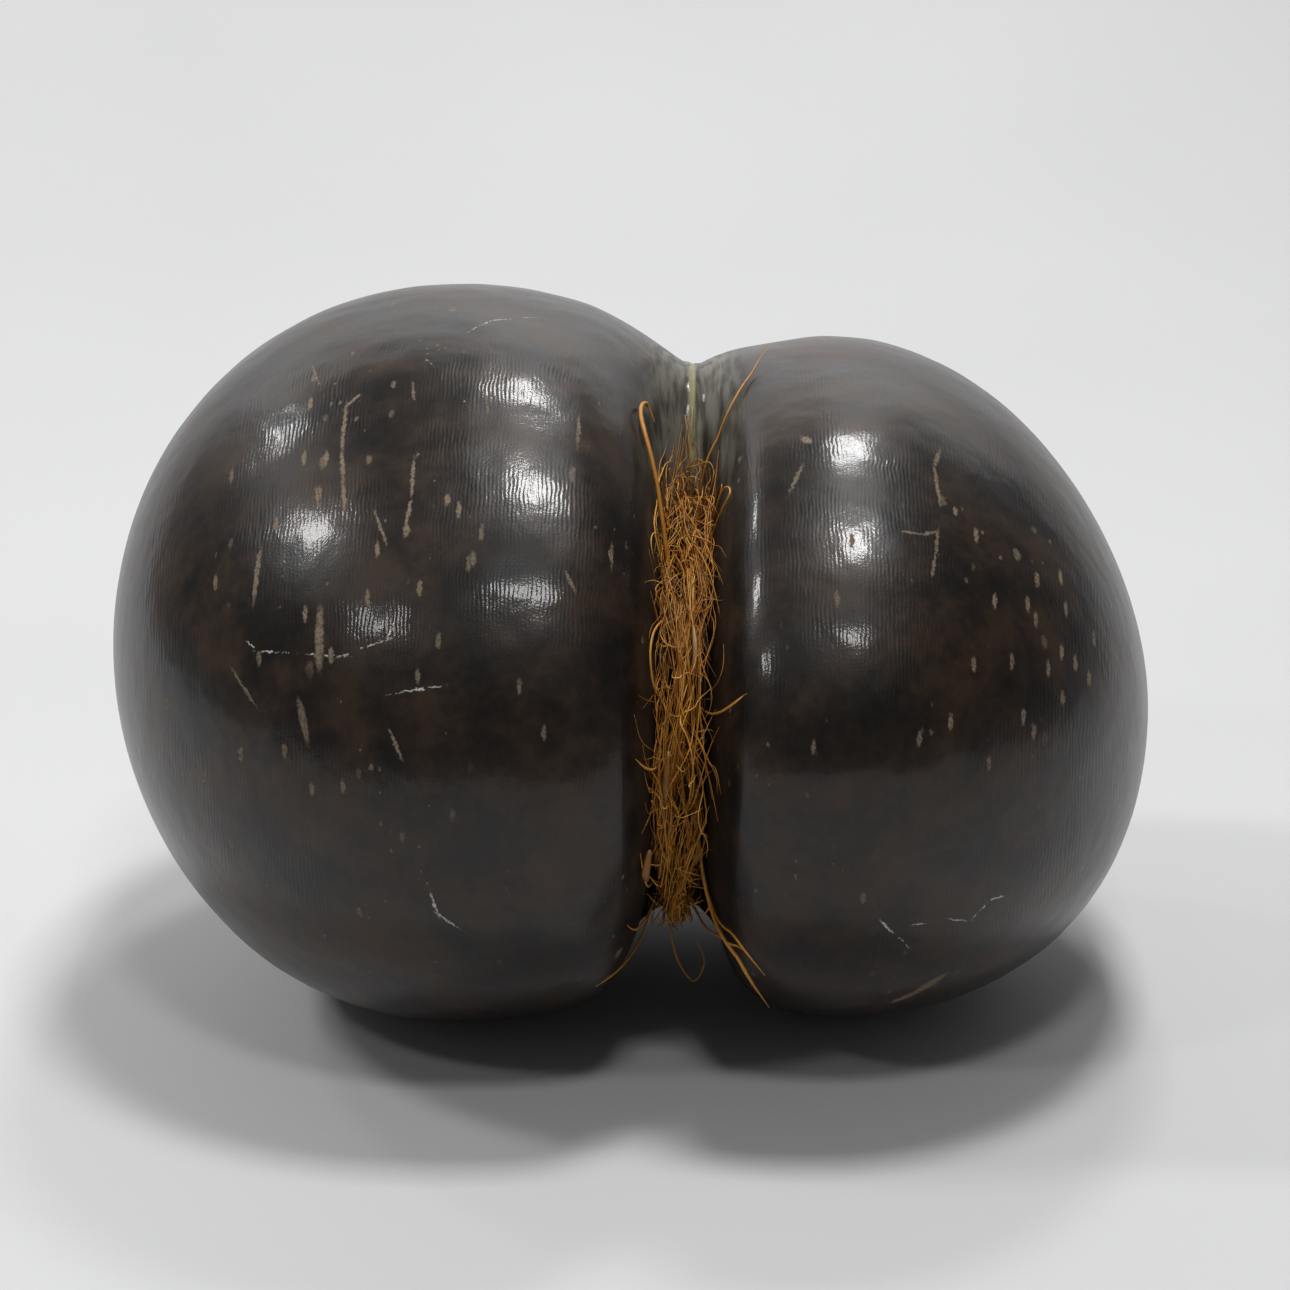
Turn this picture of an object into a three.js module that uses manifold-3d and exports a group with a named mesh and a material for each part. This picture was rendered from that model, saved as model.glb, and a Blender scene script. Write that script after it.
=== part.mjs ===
// Double-lobed palm nut lying on its side, with a tuft of husk fibre in its cleft.
// Millimetres, +Z up. X runs across the two lobes and the cleft faces -Y.
import * as THREE from "three";
import { mergeVertices } from "three/addons/utils/BufferGeometryUtils.js";
import Module from "manifold-3d";

const wasm = await Module();
wasm.setup();
const { clamp, degToRad, lerp, smoothstep } = THREE.MathUtils;

// Reach of each lobe along X from the cleft, and where its fullest section stands
const LEFT_REACH = 159.8;
const RIGHT_REACH = 126.6;
const LEFT_CREST = 65.5;
const RIGHT_CREST = 38.5;

// Radii of each lobe's fullest section, about the centre line
const LEFT_FRONT = 131;
const RIGHT_FRONT = 127;
const LEFT_BACK = 131;
const RIGHT_BACK = 122;
const LEFT_TOP = 100.5;
const RIGHT_TOP = 82.5;
const LEFT_UNDER = 96.5;
const RIGHT_UNDER = 99.5;

// Height of the two outer tips, how square the sections are, and the blend between the lobes
const LEFT_TIP_HEIGHT = 102;
const RIGHT_TIP_HEIGHT = 83.5;
const ROUNDNESS = 2.05;
const LOBE_BLEND = 30;

// Front shoulder of the left lobe: how much nearer the cleft its crest stands, and its angles in degrees
const SHOULDER_SHIFT = 15.5;
const SHOULDER_STARTS = -50;
const SHOULDER_FULL_FROM = 20;
const SHOULDER_FULL_TO = 35;
const SHOULDER_ENDS = 100;

// Broad valley between the lobes, as a share of the radius on each side
const VALLEY_FRONT = 0.04;
const VALLEY_TOP_LEFT = 0.2;
const VALLEY_TOP_RIGHT = 0.165;
const VALLEY_BACK = 0.09;
const VALLEY_UNDER = 0.08;

// Narrow cleft at the front: depth, half widths at half depth, lean, and where it fades, in degrees
const SLOT_DEPTH = 54;
const SLOT_FRONT = 6.5;
const SLOT_TOP = 7.5;
const SLOT_UNDER = 12.5;
const SLOT_LEAN = 4.6;
const SLOT_STEEPNESS = 3;
const SLOT_FULL_TO = 35;
const SLOT_ENDS_TOP = 100;
const SLOT_ENDS_UNDER = 122;

// Raised seam along the valley, over the top and down the back
const SEAM_HEIGHT = 1.2;
const SEAM_HALF_WIDTH = 3;
const SEAM_STARTS = 58;
const SEAM_ENDS = 200;
const SEAM_FADE = 18;

// Flat spots the lobes rest on, ground off by this much
const FOOT_CUT = 1.2;

// Facets of the nut: sections inside and outside each crest, and points round each section
const LEFT_INNER_STEPS = 18;
const RIGHT_INNER_STEPS = 14;
const OUTER_STEPS = 14;
const INNER_CROWDING = 1.6;
const ROUND_STEPS = 64;

// Mat of packed husk at the root of the tuft: its ends in degrees, its height and its room in the cleft
const MAT_TOP_END = 64;
const MAT_LOW_END = -52;
const MAT_HEIGHT = 26;
const MAT_LOW_RISE = 4;
const MAT_LOW_PART = 0.5;
const MAT_END_WIDTH = 0.35;
const MAT_END_SHARE = 0.02;
const MAT_HALF_WIDTH = 5.4;
const MAT_FILL = 0.75;
const MAT_STEPS = 22;
const MAT_CLEAR = 0.8;
const ROOM_FULL_AT = 0.9;

// Outline of the mat's section: side of the cleft, and share of the mat's height
const MAT_OUTLINE = [[0, 0], [1, 0.3], [1, 0.75], [0, 1], [-1, 0.75], [-1, 0.3]];

// Fibres of the tuft: count, radii and facets
const FIBRE_COUNT = 68;
const FIBRE_THIN = 0.34;
const FIBRE_THICK = 0.5;
const FIBRE_SIDES = 3;
const FIBRE_STEPS = 7;
const STRAY_STEPS = 13;
const FIBRE_TIP = 0.5;

// Way of each fibre: run along the cleft in degrees, sideways drift, height over the mat, room kept clear
const FIBRE_STOPS = 4;
const FIBRE_RUN_SHORT = 16;
const FIBRE_RUN_LONG = 44;
const FIBRE_SPREAD = 9.5;
const FIBRE_WIGGLE = 1;
const FIBRE_LIFT_LEAST = 0.5;
const FIBRE_LIFT = 10;
const FIBRE_HANG = 6;
const FIBRE_HANG_FROM = -20;
const FIBRE_CLEAR = 0.7;
const ROOT_INSET = 8;
const ROOT_SINK = 0.5;
const ROOT_SPREAD = 2.7;
const TUFT_LOW_TIP = -60;
const TUFT_TOP_TIP = 72;

// Seeded run of numbers: start, step and span
const SEED = 29;
const RANDOM_STEP = 16807;
const RANDOM_SPAN = 2147483647;

// Points closer than this are one point
const WELD = 0.001;

// Long stray fibres: radius, then points as offset from the cleft, degrees, height over its floor
const STRAYS = [
  [0.75, [-2, 20, 6], [-4.5, 30, 16], [-8.4, 46, 25], [-13, 58, 31], [-12, 64, 26], [-9.5, 62, 24]],
  [0.35, [1, 54, 5], [3.7, 64, 16], [11.5, 73, 18], [21, 90, 12]],
  [0.35, [2, 34, 6], [6, 40, 18], [10.5, 43, 30], [8.5, 47, 26], [5, 44, 17]],
  [0.35, [1, 6, 6], [6, 7, 17], [12, 9.5, 44], [15.5, 11, 55]],
  [0.4, [-2, 24, 6], [-8, 19, 30], [-8, 13, 30], [-4, 7, 12]],
  [0.4, [-1, -2, 6], [-6, 0, 24], [-11.5, 4, 47]],
  [0.35, [-1, -34, 6], [-7, -22, 30], [-10, -9, 43]],
  [0.35, [-1, -40, 6], [-8, -30, 36], [-12.9, -20, 50]],
  [0.4, [-1, -32, 6], [-8, -36, 35], [-14, -32, 50], [-20.6, -29.5, 59]],
  [0.4, [-2, -42, 6], [6, -36, 34], [12.6, -28, 47], [17.4, -24.5, 56]],
  [0.65, [1, -8, 6], [4.5, -16, 20], [8, -25, 36], [16.5, -29.5, 54], [24.4, -39, 61]],
  [0.4, [2, -18, 6], [8.5, -25, 36], [15, -23.5, 53], [22.5, -28, 60]],
  [0.3, [-1, -38, 8], [-2, -46, 24], [0, -56, 34], [5, -60, 40], [8, -55, 38], [6, -51, 34]],
];

const MATERIALS = {
  shell: new THREE.MeshStandardMaterial({ color: 0x1c130d, roughness: 0.25, metalness: 0 }),
  husk: new THREE.MeshStandardMaterial({ color: 0xa8711f, roughness: 0.8, metalness: 0 }),
};

// Centre of the cleft at an angle: upright over the top, leaning left towards the bottom
function cleftCentre(angle) {
  return (SLOT_LEAN * (Math.sin(angle) - 1)) / 2;
}

// Signed degrees of an angle: 0 to the front, 90 at the top, -90 underneath
function signedDegrees(angle) {
  return THREE.MathUtils.radToDeg(Math.atan2(Math.sin(angle), Math.cos(angle)));
}

// Depth of the cleft at its centre, and its half width at half that depth
function cleft(angle) {
  const degrees = signedDegrees(angle);
  const ends = degrees > 0 ? SLOT_ENDS_TOP : SLOT_ENDS_UNDER;
  const upright = Math.sin(angle) ** 2;
  const far = degrees > 0 ? SLOT_TOP : SLOT_UNDER;
  return {
    depth: SLOT_DEPTH * (1 - smoothstep(Math.abs(degrees), SLOT_FULL_TO, ends)),
    half: lerp(SLOT_FRONT, far, upright),
  };
}

// Height of the raised seam at a distance from the cleft's centre
function seam(distance, angle) {
  const degrees = (THREE.MathUtils.radToDeg(angle) + 360) % 360;
  const rise = smoothstep(degrees, SEAM_STARTS, SEAM_STARTS + SEAM_FADE);
  const fall = 1 - smoothstep(degrees, SEAM_ENDS - SEAM_FADE, SEAM_ENDS);
  return SEAM_HEIGHT * rise * fall * (1 - smoothstep(distance, 0, SEAM_HALF_WIDTH));
}

// Distance of a lobe's fullest section from the cleft at an angle
function crestAt(left, angle) {
  if (!left) {
    return RIGHT_CREST;
  }
  const degrees = signedDegrees(angle);
  const rise = smoothstep(degrees, SHOULDER_STARTS, SHOULDER_FULL_FROM);
  const fall = 1 - smoothstep(degrees, SHOULDER_FULL_TO, SHOULDER_ENDS);
  return LEFT_CREST - SHOULDER_SHIFT * rise * fall;
}

// Radius of the nut about its centre line, and the centre line's height, at a station and angle
function shell(x, angle) {
  const left = x < 0;
  const crest = crestAt(left, angle);
  const reach = left ? LEFT_REACH : RIGHT_REACH;
  const outward = clamp((Math.abs(x) - crest) / (reach - crest), 0, 1);
  const inward = clamp(1 - Math.abs(x) / crest, 0, 1) ** 2;
  const end = Math.sqrt(1 - outward ** 2);
  const side = smoothstep(x, -LOBE_BLEND, LOBE_BLEND);
  const c = Math.cos(angle);
  const s = Math.sin(angle);
  const front = lerp(LEFT_FRONT, RIGHT_FRONT, side) * (1 - VALLEY_FRONT * inward);
  const back = lerp(LEFT_BACK, RIGHT_BACK, side) * (1 - VALLEY_BACK * inward);
  const valleyTop = lerp(VALLEY_TOP_LEFT, VALLEY_TOP_RIGHT, side);
  const top = lerp(LEFT_TOP, RIGHT_TOP, side) * (1 - valleyTop * inward);
  const under = lerp(LEFT_UNDER, RIGHT_UNDER, side) * (1 - VALLEY_UNDER * inward);
  const flat = Math.abs(c / (c > 0 ? front : back)) ** ROUNDNESS;
  const upright = Math.abs(s / (s > 0 ? top : under)) ** ROUNDNESS;
  const { depth, half } = cleft(angle);
  const distance = Math.abs(x - cleftCentre(angle));
  const cut = depth / (1 + (distance / half) ** SLOT_STEEPNESS);
  const full = (flat + upright) ** (-1 / ROUNDNESS);
  const middle = lerp(LEFT_UNDER, RIGHT_UNDER, side);
  const tip = left ? LEFT_TIP_HEIGHT : RIGHT_TIP_HEIGHT;
  return {
    radius: (full - cut + seam(distance, angle)) * end,
    centre: lerp(middle, tip, outward ** 2),
  };
}

// Point at a station, angle and radius
function pointAt(x, angle, radius) {
  const { centre } = shell(x, angle);
  return new THREE.Vector3(x, -radius * Math.cos(angle), centre + radius * Math.sin(angle));
}

// Skin over a row of rings, closed to a point at each end
function skin(first, rings, last) {
  const count = rings[0].length;
  const points = [first, ...rings.flat(), last];
  const end = points.length - 1;
  const faces = [];
  for (let j = 0; j < count; j += 1) {
    const k = (j + 1) % count;
    faces.push(0, 1 + j, 1 + k);
    faces.push(end, end - count + k, end - count + j);
    for (let i = 0; i < rings.length - 1; i += 1) {
      const a = 1 + i * count;
      const b = a + count;
      faces.push(a + j, b + j, b + k);
      faces.push(a + j, b + k, a + k);
    }
  }
  const geometry = new THREE.BufferGeometry().setFromPoints(points);
  geometry.setIndex(faces);
  return geometry;
}

// Stations along X, crowded towards the cleft and towards the two tips
function stations() {
  const list = [0];
  for (let i = 1; i <= LEFT_INNER_STEPS; i += 1) {
    list.unshift(-LEFT_CREST * (i / LEFT_INNER_STEPS) ** INNER_CROWDING);
  }
  for (let i = 1; i <= RIGHT_INNER_STEPS; i += 1) {
    list.push(RIGHT_CREST * (i / RIGHT_INNER_STEPS) ** INNER_CROWDING);
  }
  for (let i = 1; i < OUTER_STEPS; i += 1) {
    const share = Math.sin((Math.PI / 2) * (i / OUTER_STEPS));
    list.unshift(-lerp(LEFT_CREST, LEFT_REACH, share));
    list.push(lerp(RIGHT_CREST, RIGHT_REACH, share));
  }
  return list;
}

// Nut: one skin over all its sections, with the resting spots flattened
function nut() {
  const rings = stations().map((x) => {
    const ring = [];
    for (let j = 0; j < ROUND_STEPS; j += 1) {
      const angle = (2 * Math.PI * j) / ROUND_STEPS;
      const point = pointAt(x, angle, shell(x, angle).radius);
      point.z = Math.max(point.z, FOOT_CUT);
      ring.push(point);
    }
    return ring;
  });
  const leftTip = new THREE.Vector3(-LEFT_REACH, 0, LEFT_TIP_HEIGHT);
  const rightTip = new THREE.Vector3(RIGHT_REACH, 0, RIGHT_TIP_HEIGHT);
  return skin(leftTip, rings, rightTip);
}

// Next number of the seeded run, between 0 and 1
let state = SEED;
function random() {
  state = (state * RANDOM_STEP) % RANDOM_SPAN;
  return state / RANDOM_SPAN;
}

// Next number of the run, up to a width on either side of 0
function either(width) {
  return (2 * random() - 1) * width;
}

// Radius of the cleft's floor at an angle
function floorRadius(angle) {
  return shell(cleftCentre(angle), angle).radius;
}

// Highest of the shell's radius just left of, at and just right of a station
function shellAround(x, angle, reach) {
  return Math.max(...[-reach, 0, reach].map((step) => shell(x + step, angle).radius));
}

// Half width of the cleft at a height over its floor
function roomAt(angle, height) {
  const { depth, half } = cleft(angle);
  const share = clamp(height / depth, 0, ROOM_FULL_AT);
  return half * (share / (1 - share)) ** (1 / SLOT_STEEPNESS);
}

// How far along the mat an angle is, and how much of its full section is there
function matTaper(degrees) {
  const share = (degrees - MAT_LOW_END) / (MAT_TOP_END - MAT_LOW_END);
  const along = clamp(share, MAT_END_SHARE, 1 - MAT_END_SHARE);
  return { along, taper: Math.sqrt(Math.sin(Math.PI * along)) };
}

// Height of the mat's face over the cleft's floor, more towards the bottom where it hangs free
function matHeight(degrees) {
  const { along, taper } = matTaper(degrees);
  return (MAT_HEIGHT + MAT_LOW_RISE * (1 - smoothstep(along, 0, MAT_LOW_PART))) * taper;
}

// Mat: packed husk that follows the cleft's floor and walls a little clear of them
function mat() {
  const ring = (degrees) => {
    const angle = degToRad(degrees);
    const base = floorRadius(angle);
    const widest = MAT_HALF_WIDTH * lerp(MAT_END_WIDTH, 1, matTaper(degrees).taper);
    return MAT_OUTLINE.map(([side, share]) => {
      const rise = Math.max(matHeight(degrees) * share, MAT_CLEAR);
      const half = Math.min(roomAt(angle, rise) * MAT_FILL, widest);
      const x = cleftCentre(angle) + side * half;
      return pointAt(x, angle, Math.max(base + rise, shellAround(x, angle, MAT_CLEAR) + MAT_CLEAR));
    });
  };
  const rings = [];
  for (let i = 0; i <= MAT_STEPS; i += 1) {
    rings.push(ring(lerp(MAT_LOW_END, MAT_TOP_END, i / MAT_STEPS)));
  }
  const middleOf = (points) => points.reduce((a, b) => a.clone().add(b)).divideScalar(points.length);
  return skin(middleOf(rings[0]), rings, middleOf(rings.at(-1)));
}

// Fibre along control points in the cleft, pushed clear of the shell wherever it would touch
function fibre(radius, controls, steps) {
  const curve = new THREE.CatmullRomCurve3(controls.map((c) => new THREE.Vector3(...c)));
  const path = curve.getSpacedPoints(steps + 1).map((c) => {
    const angle = degToRad(c.y);
    const x = cleftCentre(angle) + c.x;
    const room = radius + FIBRE_CLEAR;
    const clear = shellAround(x, angle, room) + room;
    return pointAt(x, angle, Math.max(floorRadius(angle) + c.z, clear));
  });
  const rings = [];
  let side = new THREE.Vector3(1, 0, 0);
  for (let i = 1; i <= steps; i += 1) {
    const along = path[i + 1].clone().sub(path[i - 1]).normalize();
    side = side.clone().addScaledVector(along, -side.dot(along)).normalize();
    const other = side.clone().cross(along);
    const size = i === steps ? radius * FIBRE_TIP : radius;
    const ring = [];
    for (let j = 0; j < FIBRE_SIDES; j += 1) {
      const turn = (2 * Math.PI * j) / FIBRE_SIDES;
      const point = path[i].clone().addScaledVector(side, size * Math.cos(turn));
      ring.push(point.addScaledVector(other, size * Math.sin(turn)));
    }
    rings.push(ring);
  }
  return skin(path[0], rings, path[steps + 1]);
}

// Control points of one fibre: rooted in the mat, then wandering along the cleft
function wander(index) {
  const start = lerp(MAT_LOW_END + ROOT_INSET, MAT_TOP_END - ROOT_INSET, (index + random()) / FIBRE_COUNT);
  const length = lerp(FIBRE_RUN_SHORT, FIBRE_RUN_LONG, random());
  const fallsDown = start - length > TUFT_LOW_TIP && either(1) < 0;
  const run = start + length > TUFT_TOP_TIP || fallsDown ? -length : length;
  const from = either(ROOT_SPREAD);
  const to = either(FIBRE_SPREAD);
  const points = [];
  for (let i = 0; i <= FIBRE_STOPS; i += 1) {
    const degrees = start + (run * i) / FIBRE_STOPS;
    const hang = FIBRE_HANG * (1 - smoothstep(degrees, TUFT_LOW_TIP, FIBRE_HANG_FROM));
    const free = matHeight(degrees) + hang + lerp(FIBRE_LIFT_LEAST, FIBRE_LIFT, random());
    const height = i === 0 ? matHeight(degrees) * ROOT_SINK : free;
    const half = roomAt(degToRad(degrees), height) - FIBRE_CLEAR;
    const offset = lerp(from, to, i / FIBRE_STOPS) + either(FIBRE_WIGGLE);
    points.push([clamp(offset, -half, half), degrees, height]);
  }
  return points;
}

// Solid from a closed geometry, and back
function toSolid(geometry) {
  const merged = mergeVertices(geometry, WELD);
  const vertProperties = Float32Array.from(merged.attributes.position.array);
  const triVerts = Uint32Array.from(merged.index.array);
  return new wasm.Manifold(new wasm.Mesh({ numProp: 3, vertProperties, triVerts }));
}

function toGeometry(solid) {
  const { vertProperties, triVerts } = solid.getMesh();
  const geometry = new THREE.BufferGeometry();
  geometry.setAttribute("position", new THREE.Float32BufferAttribute(vertProperties, 3));
  geometry.setIndex(Array.from(triVerts));
  return geometry;
}

// Tuft: the mat, the wandering fibres and the strays, fused into one piece with no pockets in it
function tuft() {
  const pieces = [toSolid(mat())];
  for (let i = 0; i < FIBRE_COUNT; i += 1) {
    const radius = lerp(FIBRE_THIN, FIBRE_THICK, random() ** 2);
    pieces.push(toSolid(fibre(radius, wander(i), FIBRE_STEPS)));
  }
  STRAYS.forEach(([radius, ...controls]) => {
    pieces.push(toSolid(fibre(radius, controls, STRAY_STEPS)));
  });
  const shells = toSolid(toGeometry(wasm.Manifold.union(pieces))).decompose();
  return toGeometry(wasm.Manifold.union(shells.filter((shape) => shape.volume() > 0)));
}

// Named node whose frame sits under the middle of the nut's box
function node(name, geometry, material, shift) {
  geometry.translate(shift.x, shift.y, shift.z);
  geometry.computeVertexNormals();
  const mesh = new THREE.Mesh(geometry, material);
  mesh.name = name;
  return mesh;
}

const nutShape = nut();
nutShape.computeBoundingBox();
const middle = nutShape.boundingBox.getCenter(new THREE.Vector3());
const shift = new THREE.Vector3(-middle.x, -middle.y, -nutShape.boundingBox.min.z);

const part = new THREE.Group();
part.name = "double_palm_nut";
part.add(node("nut", nutShape, MATERIALS.shell, shift));
part.add(node("fibre_tuft", tuft(), MATERIALS.husk, shift));
export default part;
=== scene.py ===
"""Polished two-lobed palm nut with a tuft of husk fibre in its cleft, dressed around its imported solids."""

import math

import bpy
import numpy as np
from bpy.props import FloatProperty, FloatVectorProperty, IntProperty, PointerProperty
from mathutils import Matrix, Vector, noise


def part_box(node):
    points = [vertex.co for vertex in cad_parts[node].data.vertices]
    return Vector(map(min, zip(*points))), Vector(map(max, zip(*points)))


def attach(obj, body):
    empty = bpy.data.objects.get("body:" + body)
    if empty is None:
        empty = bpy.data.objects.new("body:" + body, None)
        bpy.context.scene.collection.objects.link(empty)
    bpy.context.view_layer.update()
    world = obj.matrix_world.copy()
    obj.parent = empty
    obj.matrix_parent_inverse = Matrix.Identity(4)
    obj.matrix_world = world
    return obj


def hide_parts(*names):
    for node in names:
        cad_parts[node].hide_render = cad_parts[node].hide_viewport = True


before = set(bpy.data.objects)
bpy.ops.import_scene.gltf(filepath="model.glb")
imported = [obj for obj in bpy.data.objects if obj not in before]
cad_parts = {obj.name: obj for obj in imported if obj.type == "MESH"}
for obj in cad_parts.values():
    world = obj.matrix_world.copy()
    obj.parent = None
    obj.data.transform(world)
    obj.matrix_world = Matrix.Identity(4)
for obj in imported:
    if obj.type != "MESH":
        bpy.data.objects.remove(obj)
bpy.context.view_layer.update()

bl_info = {
    "name": "Double Palm Nut",
    "version": (1, 0, 0),
    "blender": (4, 5, 0),
    "location": "3D View > Sidebar > Palm Nut",
    "description": "Builds a polished two-lobed palm nut with husk fibre in its cleft",
    "category": "Add Mesh",
}

BODY = "root"
NUT_NODE = "nut"
TUFT_NODE = "fibre_tuft"
NUT_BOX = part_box(NUT_NODE)
MM = 0.001


# Settings a user may change

def number(kind, **fixed):
    """A maker of settings of one kind from a name, a description and a default."""
    return lambda name, description, default, **more: kind(
        name=name, description=description, default=default, **fixed, **more
    )


def turn(name, description, degrees):
    """An angle, given in degrees; round the nut, 0 is the front and 90 the top."""
    return angle_setting(name, description, math.radians(degrees))


# Kinds of setting; a pair is left and right
share = number(FloatProperty, precision=3)
length = number(FloatProperty, unit="LENGTH", subtype="DISTANCE", precision=4)
angle_setting = number(FloatProperty, unit="ROTATION", subtype="ANGLE")
spot = number(FloatVectorProperty, unit="LENGTH")
pair = number(FloatVectorProperty, unit="LENGTH", size=2, precision=4)
colour = number(FloatVectorProperty, size=3, min=0.0, max=1.0, subtype="COLOR")
count = number(IntProperty, min=0)


class NutSettings(bpy.types.PropertyGroup):
    """Sizes of the nut from the plane of its cleft and from its centre line; pairs are left and right."""

    reach: pair("Reach", "Cleft to each tip", (0.1598, 0.1266))
    crest: pair("Crest", "Cleft to each lobe's fullest section", (0.0655, 0.0385))
    front: pair("Front", "Radius to the front", (0.131, 0.127))
    back: pair("Back", "Radius to the back", (0.131, 0.122))
    top: pair("Top", "Radius upwards", (0.1005, 0.0825))
    under: pair("Underside", "Radius downwards", (0.0965, 0.0995))
    tip: pair("Tips", "Height of each tip", (0.102, 0.0835))
    shoulder_shift: length("Shoulder", "How far the left crest moves in, in front", 0.0155)
    shoulder_starts: turn("Shoulder starts", "Where the left shoulder begins below", -50)
    shoulder_full_from: turn("Shoulder full from", "Where the shoulder is full, below", 20)
    shoulder_full_to: turn("Shoulder full to", "Where the shoulder is full, above", 35)
    shoulder_ends: turn("Shoulder ends", "Where the shoulder has faded at the top", 100)
    roundness: share("Roundness", "Power of the sections: 2 is an ellipse", 2.05)
    lobe_blend: length("Lobe blend", "Half width of the change between lobes", 0.03)
    valley_front: share("Valley, front", "Share of the radius lost at the cleft", 0.04)
    valley_left: share("Valley, top left", "Share of the radius lost at the cleft", 0.2)
    valley_right: share("Valley, top right", "Share of the radius lost at the cleft", 0.165)
    valley_back: share("Valley, back", "Share of the radius lost at the cleft", 0.09)
    valley_under: share("Valley, underside", "Share of the radius lost at the cleft", 0.08)
    slot_depth: length("Cleft depth", "Depth of the cleft at the front", 0.054)
    slot_front: length("Cleft half width, front", "Half width at half depth", 0.0065)
    slot_top: length("Cleft half width, top", "Half width at half depth", 0.0075)
    slot_under: length("Cleft half width, underside", "Half width at half depth", 0.0125)
    slot_lean: length("Cleft lean", "How far the cleft leans to the left at the bottom", 0.0046)
    slot_steepness: share("Cleft steepness", "Power of the cleft's walls", 3.0)
    slot_full_to: turn("Cleft full to", "The cleft keeps its depth to this angle", 35)
    slot_ends_top: turn("Cleft ends, top", "The cleft fades out at this angle", 100)
    slot_ends_under: turn("Cleft ends, underside", "The cleft fades out at this angle below", 122)
    seam_height: length("Seam height", "Height of the raised seam in the valley", 0.0012)
    seam_half: length("Seam half width", "Half width of the raised seam", 0.003)
    seam_starts: turn("Seam starts", "Where the seam rises out of the cleft", 58)
    seam_ends: turn("Seam ends", "Where the seam fades out at the back", 200)
    seam_fade: turn("Seam fade", "Angle over which the seam fades", 18)
    foot_cut: length("Foot", "Height ground off each lobe to rest on", 0.0012)
    lump_size: length("Lump size", "Width of the broad unevenness", 0.034)
    lump_height: length("Lump height", "Height of the broad unevenness", 0.0005)
    dent_size: length("Dent size", "Width of the small dents", 0.009)
    dent_height: length("Dent height", "Depth of the small dents", 0.00018)


class FinishSettings(bpy.types.PropertyGroup):
    """Colours of the nut and its husk."""

    shell_dark: colour("Shell, dark", "Darkest part of the shell", (0.0045, 0.0027, 0.0018))
    shell_brown: colour("Shell, brown", "Brown part of the shell", (0.036, 0.0178, 0.0075))
    scar: colour("Scar", "Pale flecks and scars", (0.205, 0.152, 0.102))
    scratch: colour("Scratch", "Fine white scratches", (0.60, 0.58, 0.54))
    groove: colour("Groove", "Rough grey skin in the valley", (0.15, 0.142, 0.112))
    seam: colour("Seam", "Dry seam in the valley", (0.25, 0.225, 0.10))
    # Painted shade: this dark end of the husk's tones also stands for the shade on fibres deep in the tuft
    # and on the mat
    husk_dark_and_shade: colour("Husk, dark", "Fibres deep in the tuft", (0.030, 0.011, 0.0025))
    husk_gold: colour("Husk, gold", "Most of the fibres", (0.46, 0.176, 0.013))
    husk_pale: colour("Husk, pale", "The palest fibres", (0.74, 0.385, 0.068))
    paper: colour("Paper", "Floor and backdrop", (0.66, 0.66, 0.665))
    room: colour("Room", "Dim light of the room", (0.95, 0.97, 1.0))


class TuftSettings(bpy.types.PropertyGroup):
    """Sizes of the husk tuft."""

    strands: count("Strands", "Strands along the tuft", 66)
    fibres_each: count("Fibres each", "Fibres in each strand", 9)
    frizz: count("Frizz", "Short loose fibres", 210)
    curls: count("Curls", "Fibres that curl round in an arc", 70)
    thin: length("Thin fibre", "Radius of the thinnest fibres", 0.00008)
    thick: length("Thick fibre", "Radius of the thicker fibres", 0.00022)
    half_width: length("Half width", "Half width of the tuft", 0.0076)
    low_share: share("Low share", "Share of that width left at the bottom", 0.5)
    mat_height: length("Mat height", "Packed husk over the cleft's floor", 0.026)
    mat_low_rise: length("Mat low rise", "Extra height of the husk towards the bottom", 0.004)
    mat_half: length("Mat half width", "Half width of the packed husk", 0.0054)
    mat_top_end: turn("Mat top end", "Upper end of the packed husk", 64)
    mat_low_end: turn("Mat low end", "Lower end of the packed husk", -52)
    top_tip: turn("Top tips", "Fibres end by this angle at the top", 73)
    low_tip: turn("Low tips", "Fibres end by this angle at the bottom", -60)
    short_run: turn("Short run", "Angle the shortest fibres run along the cleft", 12)
    long_run: turn("Long run", "Angle the longest fibres run along the cleft", 46)
    lift: length("Lift", "Height of the loose fibres over the mat", 0.0115)
    hang: length("Hang", "Extra height of the fibres that hang at the bottom", 0.006)
    hang_from: turn("Hang from", "Angle below which the fibres hang free", -20)
    clear: length("Clearance", "Room between the fibres and the shell", 0.0005)
    seed: count("Seed", "Seed of every random draw", 37)


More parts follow.
